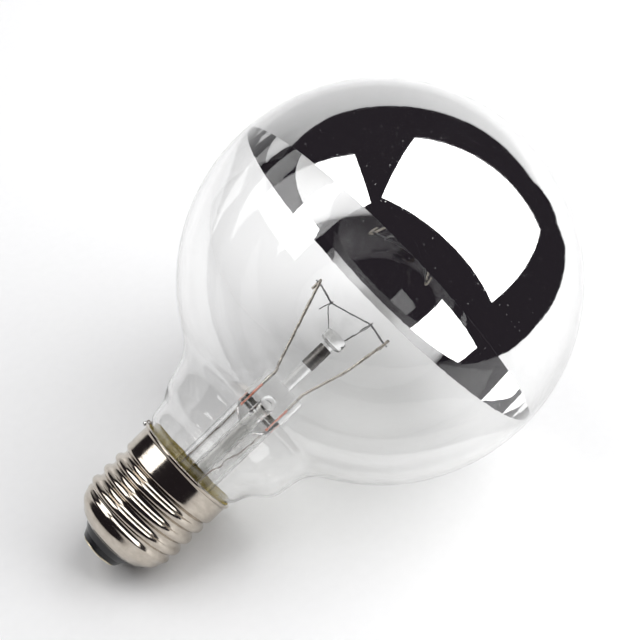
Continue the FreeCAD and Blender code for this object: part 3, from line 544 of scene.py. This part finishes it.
# Solder: one drop closes the plate's hole over the right thin wire, one joins the left thin wire
# to the outside of the cap's rim. Tin-lead, bright, with a slightly crumpled skin.
solder_material = worn_material("soft solder", (0.82, 0.82, 0.8), (0.55, 0.54, 0.52), 1.0,
                                (0.1, 0.28), (900, 900, 900), 0.6)
for node in ("contact_solder", "side_solder"):
    finish_node(node, solder_material)

# Cement: marble flour and resin, filled in between cap and neck and baked to a yellow-brown ring
# that holds the cap on the glass.
cement_material = worn_material("baked cement", (0.38, 0.31, 0.08), (0.17, 0.12, 0.03), 0.0,
                                (0.7, 0.95), (500, 500, 500), 1.0)
finish_node("cap_cement", cement_material)

# Camera: above the cap's side of the lamp, close by, looking down past the globe's middle. It
# only gives the view and is no part of the lamp.
camera_data = bpy.data.cameras.new("camera")
camera_data.sensor_width = 36.0
camera_data.lens = 56.25
camera_data.clip_start = 0.01
camera = bpy.data.objects.new("camera", camera_data)
bpy.context.scene.collection.objects.link(camera)
camera.location = (-0.09903, -0.13431, 0.2056)
camera.rotation_mode = "QUATERNION"
camera.rotation_quaternion = Vector((0.429, 0.5796, -0.6929)).to_track_quat("-Z", "Y")
bpy.context.scene.camera = camera
bpy.context.scene.view_settings.view_transform = "Standard"

# Table and backdrop: white paper, flat to the table's edge on the near side and bent up in a
# sweep behind the lamp. Towards its slanting top edge the paper's colour is darkened with height, as painted
# shade for the lights falling off there.
paper = bpy.data.materials.new("white paper")
paper.use_nodes = True
nodes, links = paper.node_tree.nodes, paper.node_tree.links
where, grain = nodes.new("ShaderNodeTexCoord"), nodes.new("ShaderNodeTexNoise")
grain.inputs["Scale"].default_value = 400
tones = nodes.new("ShaderNodeValToRGB")
tones.color_ramp.elements[0].color = (0.84, 0.842, 0.845, 1)
tones.color_ramp.elements[1].color = (0.87, 0.872, 0.875, 1)
links.new(where.outputs["Object"], grain.inputs["Vector"])
links.new(grain.outputs["Fac"], tones.inputs["Fac"])
# Painted shade: the paper's colour is scaled from 1 at 6 cm height down to 0.62 at 32 cm, standing in for
# the soft lights' falloff on the upper backdrop; the table at zero height keeps its full colour.
height, painted_falloff_shade = nodes.new("ShaderNodeSeparateXYZ"), nodes.new("ShaderNodeMapRange")
for socket, value in (("From Min", 0.06), ("From Max", 0.32), ("To Min", 1.0), ("To Max", 0.62)):
    painted_falloff_shade.inputs[socket].default_value = value
shaded = nodes.new("ShaderNodeVectorMath")
shaded.operation = "SCALE"
links.new(where.outputs["Object"], height.inputs["Vector"])
links.new(height.outputs["Z"], painted_falloff_shade.inputs["Value"])
links.new(tones.outputs["Color"], shaded.inputs["Vector"])
links.new(painted_falloff_shade.outputs["Result"], shaded.inputs["Scale"])
links.new(shaded.outputs["Vector"], nodes["Principled BSDF"].inputs["Base Color"])
nodes["Principled BSDF"].inputs["Roughness"].default_value = 0.6
table_mesh = bpy.data.meshes.new("table")
table_edge = [
    (-1.2, -0.9), (0.02, -0.9), (0.02, -0.42), (0.125, -0.25), (0.2, -0.212), (0.262, -0.125),
    (0.325, -0.062), (0.62, -0.062), (0.62, 0.9), (-1.2, 0.9),
]
table_mesh.from_pydata([(x, y, 0) for x, y in table_edge], [], [list(range(len(table_edge)))])
table_mesh.materials.append(paper)
table = bpy.data.objects.new("table", table_mesh)
bpy.context.scene.collection.objects.link(table)
behind, sideways = Vector((1, 1, 0)).normalized(), Vector((-1, 1, 0)).normalized()
sweep_start, bend_radius, paper_gap, bend_steps = 0.3, 0.12, 0.0002, 12
sweep_line = []
for k in range(bend_steps + 1):
    angle = math.pi / 2 * k / bend_steps
    sweep_line.append((sweep_start + bend_radius * math.sin(angle),
                       bend_radius - (bend_radius - paper_gap) * math.cos(angle)))
top_edge = [(-0.4, 0.121), (-0.32, 0.162), (-0.21, 0.206), (-0.128, 0.254), (-0.044, 0.288), (0.037, 0.313),
            (0.2, 0.342), (0.34, 0.402), (0.5, 0.483), (0.62, 0.55)]
under_globe = Vector((0.0175, 0, 0))
sweep_verts = [tuple(under_globe + behind * away + sideways * side + Vector((0, 0, up)))
               for side, top in top_edge for away, up in sweep_line + [(sweep_start + bend_radius, top)]]
column = len(sweep_line) + 1
sweep_faces = [(column * k + row, column * k + row + 1, column * (k + 1) + row + 1, column * (k + 1) + row)
               for k in range(len(top_edge) - 1) for row in range(column - 1)]
sweep_mesh = bpy.data.meshes.new("backdrop")
sweep_mesh.from_pydata(sweep_verts, [], [ring[::-1] for ring in sweep_faces])
sweep_mesh.shade_smooth()
sweep_mesh.materials.append(paper)
backdrop = bpy.data.objects.new("backdrop", sweep_mesh)
bpy.context.scene.collection.objects.link(backdrop)

# Dark room with two large soft lights: one on the right over the table's edge, one at the back
# left. Both mirror in the crown as bright windows.
world = bpy.data.worlds.new("dark room")
bpy.context.scene.world = world
world.use_nodes = True
world.node_tree.nodes["Background"].inputs["Color"].default_value = (0.022, 0.0185, 0.023, 1)


def soft_light(name, center, wide, high, power):
    """Rectangular soft light from its middle and its two edges, in metres; it shines towards the lamp."""
    light = bpy.data.lights.new(name, "AREA")
    light.shape = "RECTANGLE"
    light.size, light.size_y = Vector(wide).length, Vector(high).length
    light.energy = power
    lamp = bpy.data.objects.new(name, light)
    bpy.context.scene.collection.objects.link(lamp)
    x = Vector(wide).normalized()
    z = x.cross(Vector(high)).normalized()
    if z.dot(Vector(center)) < 0:
        z = -z
    lamp.matrix_world = Matrix.Translation(center) @ Matrix((x, z.cross(x), z)).transposed().to_4x4()


soft_light("right soft light", (0.454, -0.177, 0.578), (0.342, -0.656, -0.741), (-0.629, -0.379, 0.063), 9.0)
soft_light("left soft light", (-0.229, 0.242, 0.677), (-0.219, -0.432, 0.087), (0.457, -0.038, 0.501), 3.0)
